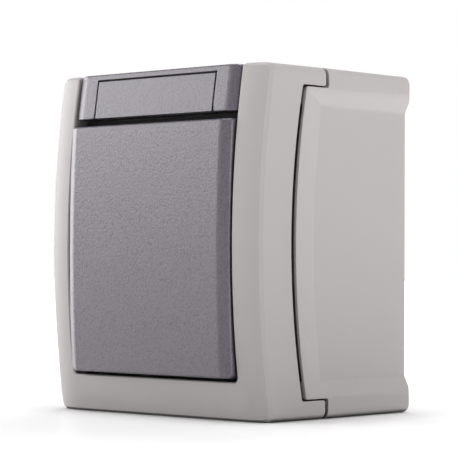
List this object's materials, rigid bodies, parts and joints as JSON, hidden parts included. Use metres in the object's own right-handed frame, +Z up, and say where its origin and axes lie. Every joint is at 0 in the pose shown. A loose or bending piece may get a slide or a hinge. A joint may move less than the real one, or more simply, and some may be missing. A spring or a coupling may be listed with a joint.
{
  "type": "outdoor weatherproof switch",
  "caption": "Surface-mounted weatherproof light switch with a bowed light grey housing, a large grained grey rocker, a label strip, a rubber cable grommet and its switching mechanism inside.",
  "frame": {"origin": "middle of the rear face that lies on the wall", "axes": "+X to the right seen from the front, +Y into the wall, +Z up, so the rocker faces -Y"},
  "size_m": [0.066, 0.0533, 0.0764],
  "materials": {
    "housing": "smooth satin light grey moulding",
    "key": "fine grained grey moulding",
    "seal": "black moulded rubber",
    "mechanism": "white moulded insulating plastic",
    "contact": "stamped brass sheet and drawn brass",
    "rivet": "silver alloy contact rivet",
    "steel": "zinc plated steel"
  },
  "bodies": {
    "housing": {"rear_box": "housing", "front_cover": "housing", "box_gasket": "seal", "label_strip": "key", "label_cover": "key", "rocker_seal": "seal", "mechanism_base": "mechanism", "common_contact": "contact", "upper_contact": "contact", "lower_contact": "contact", "fixed_rivets": "rivet", "terminal_clamps": "contact", "terminal_screws": "steel", "cover_screws": "steel", "cable_grommet": "seal"},
    "key": {"rocker": "key", "cradle": "mechanism", "plunger_spring": "steel"},
    "plunger_body": {"plunger": "mechanism"},
    "seesaw": {"contact_seesaw": "contact", "moving_rivets": "rivet"}
  },
  "joints": [
    {"name": "rocker_tilt", "type": "hinge", "parent": "housing", "child": "key", "pos_m": [0, -0.039, 0], "axis": [1, 0, 0], "range_deg": [-2.5, 2.5]},
    {"name": "plunger_travel", "type": "slide", "parent": "key", "child": "plunger_body", "axis": [0, -1, 0], "range_m": [0, 0.0006], "stiffness_N_per_m": 400, "springref_m": -0.002, "deforming": ["plunger_spring"]},
    {"name": "seesaw_tilt", "type": "hinge", "parent": "housing", "child": "seesaw", "pos_m": [0, -0.0275, 0], "axis": [1, 0, 0], "range_deg": [-6.5, 6.5]}
  ],
  "couplings": [
    {"joint": "seesaw_tilt", "follows": "rocker_tilt", "ratio": -2.6}
  ]
}
